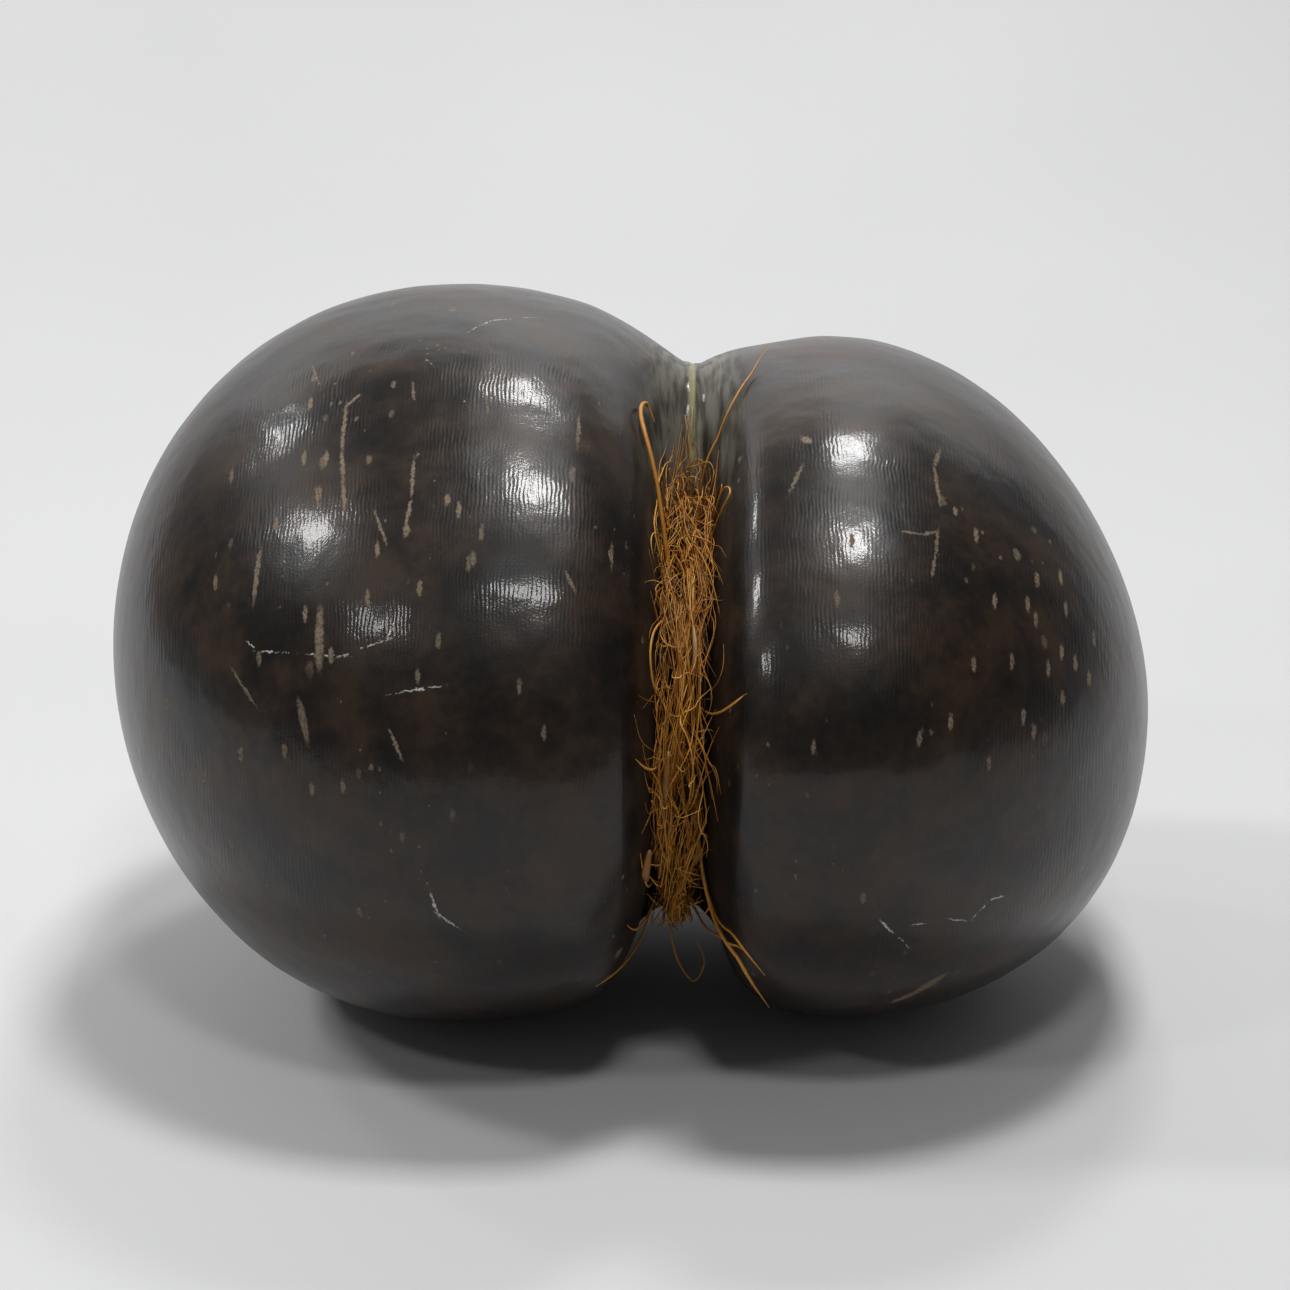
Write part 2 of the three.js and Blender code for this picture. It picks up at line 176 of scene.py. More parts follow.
class StageSettings(bpy.types.PropertyGroup):
    """Table, backdrop, lamps and camera."""

    camera_place: spot("Camera", "Place of the camera", (0.0166, -0.9735, 0.3921))
    camera_pitch: turn("Camera pitch", "Downward tilt of the camera", 16.857)
    camera_yaw: turn("Camera yaw", "Turn of the camera to the left", 0.764)
    lens: share("Lens", "Focal length", 101.6, unit="CAMERA")
    sensor: share("Sensor", "Width of the picture in the camera", 36.0, unit="CAMERA")
    table_front: length("Table front", "From the nut to the table's front edge", 0.60)
    table_half: length("Table half width", "Half width of the table", 1.25)
    sweep_back: length("Sweep", "How far back the backdrop is upright", 1.45)
    sweep_radius: length("Sweep radius", "Radius of the backdrop's curve", 0.85)
    sweep_top: length("Sweep top", "Height of the backdrop", 1.28)
    lamp_height: length("Lamp height", "Height of the ceiling lamps", 1.5)
    lamp_size: length("Lamp size", "Side of each square lamp", 0.25)
    lamp_power: share("Lamp power", "Power of each near lamp", 8.6, unit="POWER")
    side_power: share("Side power", "Power of each far lamp", 9.0, unit="POWER")
    room_light: share("Room light", "Strength of the dim room", 0.12)
    wash_place: spot("Wash lamp", "Middle of the soft lamp behind the nut", (0.0, 1.30, 0.95))
    wash_size: length("Wash lamp height", "Height of the soft lamp behind the nut", 0.6)
    wash_stretch: share("Wash lamp stretch", "Width of that lamp over its height", 3.6)
    wash_power: share("Wash lamp power", "Power of that lamp", 2.2, unit="POWER")
    wash_turn: turn("Wash lamp turn", "How far that lamp is turned up towards the nut", 65)


# Ceiling lamps: place across and back as shares of their height, share of full power, and stretch
NEAR_LAMPS = [(0.12, 0.55, 0.85, 1.0), (0.12, -0.02, 1.25, 1.0), (0.10, -0.72, 0.75, 1.0)]
SIDE_LAMPS = [(-1.00, 0.80, 0.75, 1.0), (-0.97, 0.0, 1.5, 1.8), (-0.80, -0.87, 0.7, 1.0)]

# Long stray fibres: radius, then points as offset from the cleft, degrees and height over its floor
STRAYS = [
    (0.75, [(-2, 20, 6), (-4.5, 30, 16), (-8.4, 46, 25), (-13, 58, 31), (-12, 64, 26), (-9.5, 62, 24)]),
    (0.35, [(1, 54, 5), (3.7, 64, 16), (11.5, 73, 18), (21, 90, 12)]),
    (0.35, [(2, 34, 6), (6, 40, 18), (10.5, 43, 30), (8.5, 47, 26), (5, 44, 17)]),
    (0.35, [(1, 6, 6), (6, 7, 17), (12, 9.5, 44), (15.5, 11, 55)]),
    (0.40, [(-2, 24, 6), (-8, 19, 30), (-8, 13, 30), (-4, 7, 12)]),
    (0.40, [(-1, -2, 6), (-6, 0, 24), (-11.5, 4, 47)]),
    (0.35, [(-1, -34, 6), (-7, -22, 30), (-10, -9, 43)]),
    (0.35, [(-1, -40, 6), (-8, -30, 36), (-12.9, -20, 50)]),
    (0.40, [(-1, -32, 6), (-8, -36, 35), (-14, -32, 50), (-20.6, -29.5, 59)]),
    (0.40, [(-2, -42, 6), (6, -36, 34), (12.6, -28, 47), (17.4, -24.5, 56)]),
    (0.65, [(1, -8, 6), (4.5, -16, 20), (8, -25, 36), (16.5, -29.5, 54), (24.4, -39, 61)]),
    (0.40, [(2, -18, 6), (8.5, -25, 36), (15, -23.5, 53), (22.5, -28, 60)]),
    (0.30, [(-1, -38, 8), (-2, -46, 24), (0, -56, 34), (5, -60, 40), (8, -55, 38), (6, -51, 34)]),
]

# Flat chips of husk caught in the tuft: half width, then points as for the strays
CHIPS = [
    (0.9, [(-3.4, 3, 38), (-4.0, -1, 39.5), (-3.8, -4, 38.5)]),
    (1.1, [(-7.6, -10, 40), (-8.6, -13, 42), (-8.2, -15, 41.5)]),
    (0.8, [(2.0, 20, 37), (2.6, 16, 38), (2.2, 12, 37)]),
]

# Marks on the shell: half width in millimetres, then points as millimetres from the cleft and degrees
SCARS = [
    (0.65, [(-86, 56), (-89, 54), (-89, 45), (-88, 39), (-87, 35)]),
    (0.55, [(-70, 42), (-70, 36), (-71, 32)]),
    (1.0, [(-71, 32), (-71, 31)]),
    (0.5, [(-79, 34), (-76, 30)]),
    (0.5, [(-95, 39), (-94, 36)]),
    (0.5, [(-100, 68), (-96, 59)]),
    (0.5, [(-72, 57), (-71, 53)]),
    (0.9, [(-109, 30), (-110, 23)]),
    (1.3, [(-92, 21), (-92, 15)]),
    (0.5, [(-29, 51), (-29, 45)]),
    (0.6, [(-31, 26), (-29, 24)]),
    (0.5, [(-20, 30), (-20, 27)]),
    (0.5, [(-53, 54), (-52, 50)]),
    (0.9, [(-61, 36), (-61, 35)]),
    (0.9, [(-54, 28), (-54, 27)]),
    (1.1, [(-97, 10), (-95, 6)]),
    (0.5, [(-74, 8), (-71, 5)]),
    (0.5, [(-115, 13), (-109, 9)]),
    (0.6, [(64, 51), (62, 46), (63, 38)]),
    (0.7, [(67, 38), (67, 37)]),
    (0.5, [(53, 32), (58, 32), (62, 33), (61, 29), (60, 26)]),
    (0.6, [(28, 44), (25, 39)]),
    (1.1, [(29, 51), (30, 50)]),
    (1.8, [(54, -40), (59, -37), (65, -33)]),
]

# Small upright flecks: millimetres from the cleft and degrees
FLECKS = [
    (88, 30), (95, 33), (76, 24), (85, 25), (96, 27), (87, 23), (94, 19), (98, 18), (102, 16), (70, 15),
    (83, 9), (94, 12), (64, 8), (86, 7), (56, 6), (74, 3), (30, 5), (43, -14),
    (-119, 46), (-99, 45), (-94, 38), (-67, 24), (-94, 0), (-86, 1), (-135, 5), (-121, 26), (-108, 15),
    (-67, 14), (-20, 29), (-89, 16), (-55, 27), (-96, 21), (-80, 23), (-62, 18), (-42, 13), (-113, 2),
    (-99, 57), (-93, 44), (-78, 29), (-58, 34), (-52, 31), (-105, 34), (-101, 4), (-30, 40), (-36, 8),
    (40, 30), (72, 34), (104, 24), (90, 16), (36, 22), (80, 16),
]

# Half size of those flecks in millimetres: across, in depth and in height
FLECK_HALF = (0.65, 3.5, 2.0)

# Fine white scratches, given as the scars are
SCRATCHES = [
    (0.22, [(-111, 17), (-108, 16), (-96, 16), (-86, 16), (-75, 18), (-73, 20)]),
    (0.2, [(-73, 12), (-62, 13)]),
    (0.2, [(-59, 72), (-53, 77), (-43, 81)]),
    (0.2, [(-80, 61), (-66, 66)]),
    (0.2, [(-68, 62), (-58, 52)]),
    (0.3, [(-65, -10), (-63, -14), (-58, -16)]),
    (0.3, [(48, -18), (51, -20), (55, -23)]),
    (0.25, [(56, -19), (59, -19)]),
    (0.25, [(66, -19), (71, -20), (76, -17), (79, -17)]),
]

# Marks aren't drawn over earlier ones: the place is shifted out of the way there
KEEP_OFF = (0.01, 0.01, 0.01)

# How a mark fades: distance where it ends and where it is full, in its half widths
PALE_EDGE = (1.2, 0.6)
SCRATCH_EDGE = (1.5, 0.5)
STROKE_HALF = 0.58
SCRATCH_STRENGTH = 0.8

# Scattered flecks: cells per metre, share kept and size in cells
LONG_FLECKS = ((170.0, 80.0, 80.0), 0.42, 0.24)
SMALL_FLECKS = ((420.0, 230.0, 230.0), 0.20, 0.26)
SCATTER_STRENGTH = 0.7
FLECK_LEAST = 0.4
FLECK_FADE = 0.35

# Grain of the shell: cells per metre, the ranges used and the values they give
RAGGED_CELLS = 900.0
RAGGED_REACH = 0.0014
BROKEN_CELLS = 420.0
BROKEN_RANGE = (0.38, 0.56)
PATCH_CELLS = 22.0
PATCH_RANGE = (0.40, 0.62)
BRUSHED_CELLS = 60.0
BRUSHED_RANGE = (0.35, 0.65, 0.15, 1.0)
MOTTLE_CELLS = 48.0
MOTTLE_RANGE = (0.34, 0.76)
MOTTLE_ROUGH = 0.72
STREAK_CELLS = (900.0, 230.0, 230.0)
FINE_CELLS = 1500.0
RIPPLE_CELLS = 140.0
RIDGES = {"Scale": 310.0, "Distortion": 6.0, "Detail": 1.0, "Detail Scale": 0.4}
VALLEY_CELLS = (520.0, 70.0, 70.0)
VALLEY_RANGE = (0.3, 0.68, 0.1, 1.0)
SEAM_RANGE = (0.3, 0.5)
CREST_RANGE = (0.70, 1.0)
WORN_FINE = (0.25, 0.6, 0.4, 1.0)
WORN_PATCH = (0.0, 1.0, 0.7, 1.0)

# Gloss of the shell
SHELL_ROUGHNESS = 0.37
MOTTLE_ROUGHNESS = 0.08
PALE_ROUGHNESS = 0.25
VALLEY_ROUGHNESS = 0.35
SHELL_IOR = 1.36
COAT = 0.33
COAT_ROUGHNESS = 0.12

# Relief of the shell, as shares of the bump's distance
RIDGE_RELIEF = 0.13
STREAK_RELIEF = 0.4
LINE_RELIEF = 0.9
RIPPLE_RELIEF = 0.9
FINE_RELIEF = 0.16
VALLEY_RELIEF = 1.5
SHELL_BUMP = {"Strength": 0.8, "Distance": 0.00022}

# Masks beside the cleft: distances in its half widths, a share of its depth, and degrees
GROOVE_EDGE = (0.9, 2.3)
GROOVE_RISE = (28, 62)
GROOVE_FALL = (150, 215)
WALL_EDGE = (1.0, 2.6)
WALL_DEPTH = 0.3

# Husk: streaks in cells per metre, and what they add to tone and roughness
HUSK_CELLS = (2600.0, 260.0, 260.0)
HUSK_TONE = (0.36, -0.18)
HUSK_GOLD = (0.0, 0.55)
HUSK_PALE = (0.6, 1.0)
HUSK_ROUGHNESS = (0.25, 0.34)
HUSK_SPECULAR = 0.5
HUSK_BUMP = {"Strength": 0.4, "Distance": 0.0001}

# Paper of the stage
CLOUD_CELLS = 5.0
CLOUD_SHADE = 0.94
PAPER_ROUGHNESS = 0.75
TOOTH_CELLS = 900.0
TOOTH_BUMP = {"Strength": 0.15, "Distance": 0.0002}

# Tones of the husk from 0, dark, to 1, pale: a middle value and its spread
STRAND_TONE = (0.06, 0.13)
# Painted shade: tone a strand gains with its height over the mat, so fibres lying deep in the tuft are
# darker
HEIGHT_SHADE_TONE = 0.66
FIBRE_SPREAD = 0.16
FRIZZ_TONE = (0.68, 0.18)
CURL_TONE = (0.74, 0.14)
STRAY_TONE = (0.7, 0.12)
CHIP_TONE = 0.26
# Painted shade: the mat deep in the cleft gets the darkest tone
MAT_SHADE_TONE = 0.05

# Strands: angles in degrees, lengths in millimetres, the rest as shares
STRAND_KNOTS = 7
STRAND_INSET = 4
FALLING = 0.55
DRIFT_ROOT = 1.0
DRIFT_TIP = 1.1
WAVE_HEIGHT = (0.3, 1.5)
WAVE_COUNT = (0.6, 1.6)
RUN_SPREAD = (0.7, 1.1)
START_SPREAD = 3
LIFT_SPREAD = 0.14
LIFT_WANDER = 0.07
LIFT_MOST = 1.25
STRAND_ROOT = 0.6
LOOSE_ROOT = 0.8
LOOSE_TIP = 1.6
LOOSE_WANDER = 0.25

# Frizz and curls, given the same way
FRIZZ_KNOTS = 6
FRIZZ_RUN = 0.7
FRIZZ_BEND = 0.35
FRIZZ_STAND = (0.7, 1.3)
FRIZZ_ROOT = 0.8
FRIZZ_TIP = 1.5
FRIZZ_WANDER = 0.4
SHORT_ROOT = 0.7
CURL_KNOTS = 8
CURL_RADIUS = (2.5, 7.5)
CURL_SWEEP = (1.6, 4.4)
CURL_STRETCH = (1.0, 2.2)
CURL_RISE = (0.5, 1.2)
CURL_ARCH = (0.15, math.pi - 0.3)
CURL_ASIDE = 0.6

# Strays, chips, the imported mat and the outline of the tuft, as shares
STRAY_THICKNESS = 0.8
CHIP_FLATNESS = 0.16
CHIP_ENDS = (0.25, math.pi - 0.15)
CHIP_FULLNESS = 0.6
TIP_THINNING = 0.75
TIP_STARTS = 0.75
MAT_LUMPS = 0.10
MAT_LUMP_STEP = 9.0
MAT_SWELL = 0.46
MAT_NARROW = 0.35
MAT_ROOM = 0.8
MAT_ENDS = (0.02, 0.98)
MAT_LOW_PART = 0.5
TUFT_ENDS = (0.03, 0.97)
TUFT_LOW_PART = 0.55
TUFT_FULLNESS = 0.4
STAND_PART = 0.4
MOST_FILLED = 0.9

# Facets of the fine shell, fibres and backdrop
INNER_STEPS = (112, 84)
OUTER_STEPS = 58
INNER_CROWDING = 1.35
ROUND_STEPS = 320
FIBRE_SIDES = 4
FIBRE_POINTS = 16
STRAY_SIDES = 6
STRAY_POINTS = 44
CHIP_POINTS = 12
MAT_STEPS = 70
MAT_ROUND = 20
SWEEP_STEPS = 24
DENT_SHIFT = (7.0, 3.0, 5.0)


# Shape of the nut

def smooth(low, high, value):
    """0 below low, 1 above high, and an even ease between."""
    t = np.clip((value - low) / (high - low), 0.0, 1.0)
    return t * t * (3 - 2 * t)


def blend(low, high, amount):
    """Straight blend from low to high."""
    return low + (high - low) * amount


def signed(angle):
    """Angle brought to between minus and plus half a turn."""
    return np.arctan2(np.sin(angle), np.cos(angle))


def cleft_x(nut):
    """Where the plane of the cleft stands in the part's frame."""
    return NUT_BOX[1].x - nut.reach[1]


def cleft_centre(nut, angle):
    """Centre of the cleft at an angle, from the plane of the cleft."""
    return nut.slot_lean * (np.sin(angle) - 1) / 2


def cleft(nut, angle):
    """Depth of the cleft at its centre, and its half width at half that depth."""
    side = signed(angle)
    ends = np.where(side > 0, nut.slot_ends_top, nut.slot_ends_under)
    far = np.where(side > 0, nut.slot_top, nut.slot_under)
    depth = nut.slot_depth * (1 - smooth(nut.slot_full_to, ends, np.abs(side)))
    return depth, blend(nut.slot_front, far, np.sin(angle) ** 2)


def seam_rise(nut, distance, angle):
    """How much of the raised seam stands at a distance from the cleft's centre, from 0 to 1."""
    round_angle = np.mod(angle, 2 * np.pi)
    rise = smooth(nut.seam_starts, nut.seam_starts + nut.seam_fade, round_angle)
    fall = 1 - smooth(nut.seam_ends - nut.seam_fade, nut.seam_ends, round_angle)
    return rise * fall * (1 - smooth(0, nut.seam_half, distance))


def crest_at(nut, left, angle):
    """Distance of a lobe's fullest section from the cleft."""
    side = signed(angle)
    rise = smooth(nut.shoulder_starts, nut.shoulder_full_from, side)
    fall = 1 - smooth(nut.shoulder_full_to, nut.shoulder_ends, side)
    return np.where(left, nut.crest[0] - nut.shoulder_shift * rise * fall, nut.crest[1])


def shell(nut, x, angle):
    """Radius about the centre line and the centre line's height, at stations and angles."""
    x, angle = np.broadcast_arrays(np.asarray(x, float), np.asarray(angle, float))
    left = x < 0
    crest = crest_at(nut, left, angle)
    reach = np.where(left, *nut.reach)
    outward = np.clip((np.abs(x) - crest) / (reach - crest), 0, 1)
    inward = np.clip(1 - np.abs(x) / crest, 0, 1) ** 2
    side = smooth(-nut.lobe_blend, nut.lobe_blend, x)
    front = blend(*nut.front, side) * (1 - nut.valley_front * inward)
    back = blend(*nut.back, side) * (1 - nut.valley_back * inward)
    valley_top = blend(nut.valley_left, nut.valley_right, side)
    top = blend(*nut.top, side) * (1 - valley_top * inward)
    under = blend(*nut.under, side) * (1 - nut.valley_under * inward)
    c, s = np.cos(angle), np.sin(angle)
    flat = np.abs(c / np.where(c > 0, front, back)) ** nut.roundness
    upright = np.abs(s / np.where(s > 0, top, under)) ** nut.roundness
    full = (flat + upright) ** (-1 / nut.roundness)
    depth, half = cleft(nut, angle)
    distance = np.abs(x - cleft_centre(nut, angle))
    cut = depth / (1 + (distance / half) ** nut.slot_steepness)
    seam = nut.seam_height * seam_rise(nut, distance, angle)
    radius = (full - cut + seam) * np.sqrt(1 - outward ** 2)
    middle = blend(*nut.under, side)
    tip = np.where(left, *nut.tip)
    return radius, blend(middle, tip, outward ** 2)


def place(nut, x, angle, radius):
    """Points of the part's frame from stations, angles and radii."""
    centre = shell(nut, x, angle)[1]
    y = -radius * np.cos(angle)
    z = centre + radius * np.sin(angle) - nut.foot_cut
    return np.stack(np.broadcast_arrays(x + cleft_x(nut), y, z), axis=-1)


def stations(nut):
    """Stations along X, crowded towards the cleft and the two tips."""
    left, right = (
        crest * (np.arange(1, steps + 1) / steps) ** INNER_CROWDING
        for crest, steps in zip(nut.crest, INNER_STEPS)
    )
    outer = np.sin(np.arange(1, OUTER_STEPS) / OUTER_STEPS * np.pi / 2)
    far_left, far_right = (blend(crest, reach, outer) for crest, reach in zip(nut.crest, nut.reach))
    return np.concatenate([-far_left[::-1], -left[::-1], [0.0], right, far_right])


def unevenness(nut, points):
    """Height of the lumps and dents at points of the shell."""
    heights = np.empty(len(points))
    for i, point in enumerate(points):
        broad = noise.noise(Vector(point / nut.lump_size))
        dent = noise.noise(Vector(point / nut.dent_size) + Vector(DENT_SHIFT))
        heights[i] = nut.lump_height * broad + nut.dent_height * dent
    return heights


# Meshes

def ring_faces(rings, count, offset=0):
    """Faces of a skin over rings of count points, with a closing point at each end after them."""
    i, j = np.meshgrid(np.arange(rings - 1), np.arange(count), indexing="ij")
    k = (j + 1) % count
    low, high = offset + i * count, offset + (i + 1) * count
    quads = np.stack([low + j, high + j, high + k, low + k], axis=-1).reshape(-1, 4)
    around = np.arange(count)
    after = (around + 1) % count
    first, last = offset + rings * count, offset + rings * count + 1
    start = np.stack([np.full(count, first), offset + around, offset + after], axis=-1)
    end_ring = offset + (rings - 1) * count
    finish = np.stack([np.full(count, last), end_ring + after, end_ring + around], axis=-1)
    return quads.tolist() + start.tolist() + finish.tolist()


def new_mesh(name, points, faces, attributes, material):
    """A smooth mesh object with float attributes on its points."""
    mesh = bpy.data.meshes.new(name)
    mesh.from_pydata(points.tolist(), [], faces)
    for key, values in attributes.items():
        layer = mesh.attributes.new(key, "FLOAT", "POINT")
        layer.data.foreach_set("value", np.asarray(values, np.float32))
    mesh.polygons.foreach_set("use_smooth", [True] * len(mesh.polygons))
    mesh.materials.append(material)
    mesh.validate()
    piece = bpy.data.objects.new(name, mesh)
    bpy.context.scene.collection.objects.link(piece)
    return piece


def dress(piece, node):
    """The piece moves with the part and stands for a solid of it."""
    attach(piece, BODY)
    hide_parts(node)


# Material nodes

def fill(tree, node, inputs):
    """A node's inputs are set to values or linked to sockets."""
    for key, value in inputs.items():
        if isinstance(value, bpy.types.NodeSocket):
            tree.links.new(value, node.inputs[key])
        else:
            node.inputs[key].default_value = value


def add(tree, kind, inputs=None, **settings):
    """A new node with its settings and inputs."""
    node = tree.nodes.new("ShaderNode" + kind)
    for key, value in settings.items():
        setattr(node, key, value)
    fill(tree, node, inputs or {})
    return node


def maths(tree, operation, *values, clamp=False):
    """Output of a Math node."""
    inputs = dict(enumerate(values))
    return add(tree, "Math", inputs, operation=operation, use_clamp=clamp).outputs[0]


def vectors(tree, operation, *values):
    """Vector output of a Vector Math node."""
    return add(tree, "VectorMath", dict(enumerate(values)), operation=operation).outputs[0]


def mapped(tree, value, low, high, to_low=0.0, to_high=1.0):
    """Output of a smooth Map Range node."""
    inputs = {"Value": value, "From Min": low, "From Max": high, "To Min": to_low, "To Max": to_high}
    return add(tree, "MapRange", inputs, interpolation_type="SMOOTHSTEP").outputs[0]


def grain(tree, at, scale, detail=2.0, roughness=0.5):
    """Noise from 0 to 1; scale is one number of cells per metre, or one for each axis."""
    if isinstance(scale, tuple):
        at = vectors(tree, "MULTIPLY", at, scale)
        scale = 1.0
    inputs = {"Vector": at, "Scale": scale, "Detail": detail, "Roughness": roughness}
    return add(tree, "TexNoise", inputs).outputs["Fac"]


def mixed(tree, amount, low, high):
    """Colour output of a Mix node; low and high are colours or sockets."""
    inputs = {0: amount}
    for index, value in ((6, low), (7, high)):
        inputs[index] = value if isinstance(value, bpy.types.NodeSocket) else (*value, 1.0)
    return add(tree, "Mix", inputs, data_type="RGBA").outputs[2]


def attribute(tree, name):
    """Value of a float attribute of the mesh."""
    return add(tree, "Attribute", attribute_name=name).outputs["Fac"]


def new_material(name):
    """An empty material, its node tree and its surface shader."""
    material = bpy.data.materials.new(name)
    material.use_nodes = True
    tree = material.node_tree
    return material, tree, tree.nodes["Principled BSDF"]


def nearer(tree, nearest, spot):
    """The lesser of a distance and the length of a vector."""
    size = add(tree, "VectorMath", {0: spot}, operation="LENGTH").outputs["Value"]
    return size if nearest is None else maths(tree, "MINIMUM", nearest, size)


def strokes(tree, nut, at, marks):
    """Distance to the nearest of a list of marks: 0 along a mark's middle, 1 at its edge."""
    nearest = None
    for half, path in marks:
        x = np.array([point[0] for point in path]) * MM
        angle = np.radians([point[1] for point in path])
        points = place(nut, x, angle, shell(nut, x, angle)[0])
        for start, end in zip(points[:-1], points[1:]):
            along = Vector(end - start)
            inputs = {
                "Vector": at,
                "Location": (start + end) / 2,
                "Rotation": along.to_track_quat("X", "Z").to_euler(),
                "Scale": (along.length * STROKE_HALF + half * MM, half * MM, half * MM),
            }
            spot = add(tree, "Mapping", inputs, vector_type="TEXTURE").outputs[0]
            nearest = nearer(tree, nearest, spot)
    return nearest


def spots(tree, nut, at, marks, half):
    """Distance to the nearest of a list of upright spots: 0 at a spot's middle, 1 at its edge."""
    x, degrees = np.array(marks, float).T
    angle = np.radians(degrees)
    stretch = 1 / (np.array(half) * MM)
    nearest = None
    for centre in place(nut, x * MM, angle, shell(nut, x * MM, angle)[0]):
        spot = vectors(tree, "MULTIPLY_ADD", at, tuple(stretch), tuple(-centre * stretch))
        nearest = nearer(tree, nearest, spot)
    return nearest


def flecks(tree, at, scale, keep, size):
    """Mask of scattered small marks: cells per metre on each axis, share kept, and size in cells."""
    cells = vectors(tree, "MULTIPLY", at, scale)
    dots = add(tree, "TexVoronoi", {"Vector": cells, "Scale": 1.0})
    colours = add(tree, "SeparateColor", {"Color": dots.outputs["Color"]})
    chosen = maths(tree, "GREATER_THAN", colours.outputs[0], 1 - keep)
    least = size * FLECK_LEAST
    reach = maths(tree, "MULTIPLY_ADD", colours.outputs[1], size - least, least)
    inside = mapped(tree, maths(tree, "SUBTRACT", reach, dots.outputs["Distance"]), 0.0, size * FLECK_FADE)
    return maths(tree, "MULTIPLY", inside, chosen)


def shell_material(nut, finish):
    """Polished dark shell: fine upright grain, pale flecks, scars, scratches and a rough grey valley."""
    material, tree, shader = new_material("polished_shell")
    where = add(tree, "TexCoord").outputs["Object"]
    ragged = add(tree, "TexNoise", {"Vector": where, "Scale": RAGGED_CELLS})
    wander = vectors(tree, "SUBTRACT", ragged.outputs["Color"], (0.5, 0.5, 0.5))
    rough_place = vectors(tree, "MULTIPLY_ADD", wander, (RAGGED_REACH,) * 3, where)

    scars = mapped(tree, strokes(tree, nut, rough_place, SCARS), *PALE_EDGE)
    beside_scars = vectors(tree, "MULTIPLY_ADD", scars, KEEP_OFF, rough_place)
    specks = mapped(tree, spots(tree, nut, beside_scars, FLECKS, FLECK_HALF), *PALE_EDGE)
    beside_specks = vectors(tree, "MULTIPLY_ADD", specks, KEEP_OFF, beside_scars)
    scratches = mapped(tree, strokes(tree, nut, beside_specks, SCRATCHES), *SCRATCH_EDGE)
    broken = mapped(tree, grain(tree, where, BROKEN_CELLS), *BROKEN_RANGE)
    scratches = maths(tree, "MULTIPLY", scratches, broken)
    long_flecks = flecks(tree, rough_place, *LONG_FLECKS)
    small_flecks = flecks(tree, rough_place, *SMALL_FLECKS)
    patches = mapped(tree, grain(tree, where, PATCH_CELLS), *PATCH_RANGE)
    scattered = maths(tree, "MULTIPLY", maths(tree, "MAXIMUM", long_flecks, small_flecks), patches)
    pale = maths(tree, "MAXIMUM", scars, specks)
    pale = maths(tree, "MAXIMUM", pale, maths(tree, "MULTIPLY", scattered, SCATTER_STRENGTH))

    groove = attribute(tree, "groove")
    wall = attribute(tree, "wall")
    seam = attribute(tree, "seam")
    ridges = add(tree, "TexWave", {"Vector": where, **RIDGES}, bands_direction="X").outputs["Fac"]
    streaks = grain(tree, where, STREAK_CELLS, detail=1.0)
    brushed = mapped(tree, grain(tree, where, BRUSHED_CELLS, detail=1.0), *BRUSHED_RANGE)
    valley_streaks = grain(tree, where, VALLEY_CELLS)
    mottle = grain(tree, where, MOTTLE_CELLS, detail=4.0, roughness=MOTTLE_ROUGH)
    mottle = mapped(tree, mottle, *MOTTLE_RANGE)
    fine = grain(tree, where, FINE_CELLS, detail=1.0)

    base = mixed(tree, mottle, finish.shell_dark, finish.shell_brown)
    tint = maths(tree, "MULTIPLY", groove, mapped(tree, valley_streaks, *VALLEY_RANGE))
    base = mixed(tree, tint, base, finish.groove)
    worn = maths(tree, "MULTIPLY", mapped(tree, fine, *WORN_FINE), mapped(tree, patches, *WORN_PATCH))
    base = mixed(tree, maths(tree, "MULTIPLY", pale, worn), base, finish.scar)
    base = mixed(tree, maths(tree, "MULTIPLY", scratches, SCRATCH_STRENGTH), base, finish.scratch)
    crest = mapped(tree, seam, *CREST_RANGE)
    crest = maths(tree, "MULTIPLY", crest, mapped(tree, valley_streaks, *SEAM_RANGE))
    base = mixed(tree, crest, base, finish.seam)

    gloss = maths(tree, "MULTIPLY_ADD", mottle, MOTTLE_ROUGHNESS, SHELL_ROUGHNESS)
    gloss = maths(tree, "MULTIPLY_ADD", pale, PALE_ROUGHNESS, gloss)
    dull = maths(tree, "MAXIMUM", groove, wall)
    gloss = maths(tree, "MULTIPLY_ADD", dull, VALLEY_ROUGHNESS, gloss, clamp=True)
    bare = maths(tree, "MAXIMUM", wall, pale)
    polish = maths(tree, "MULTIPLY_ADD", bare, -COAT, COAT, clamp=True)

    ripples = grain(tree, where, RIPPLE_CELLS, detail=1.0)
    lines = maths(tree, "MULTIPLY", streaks, STREAK_RELIEF)
    lines = maths(tree, "MULTIPLY_ADD", ridges, RIDGE_RELIEF, lines)
    relief = maths(tree, "MULTIPLY", maths(tree, "MULTIPLY", lines, brushed), LINE_RELIEF)
    relief = maths(tree, "MULTIPLY_ADD", ripples, RIPPLE_RELIEF, relief)
    relief = maths(tree, "MULTIPLY_ADD", fine, FINE_RELIEF, relief)
    rough_relief = maths(tree, "MULTIPLY", groove, valley_streaks)
    relief = maths(tree, "MULTIPLY_ADD", rough_relief, VALLEY_RELIEF, relief)
    bump = add(tree, "Bump", {"Height": relief, **SHELL_BUMP}).outputs[0]
    fill(tree, shader, {
        "Base Color": base, "Roughness": gloss, "IOR": SHELL_IOR, "Normal": bump,
        "Coat Weight": polish, "Coat Roughness": COAT_ROUGHNESS, "Coat Normal": bump,
    })
    return material


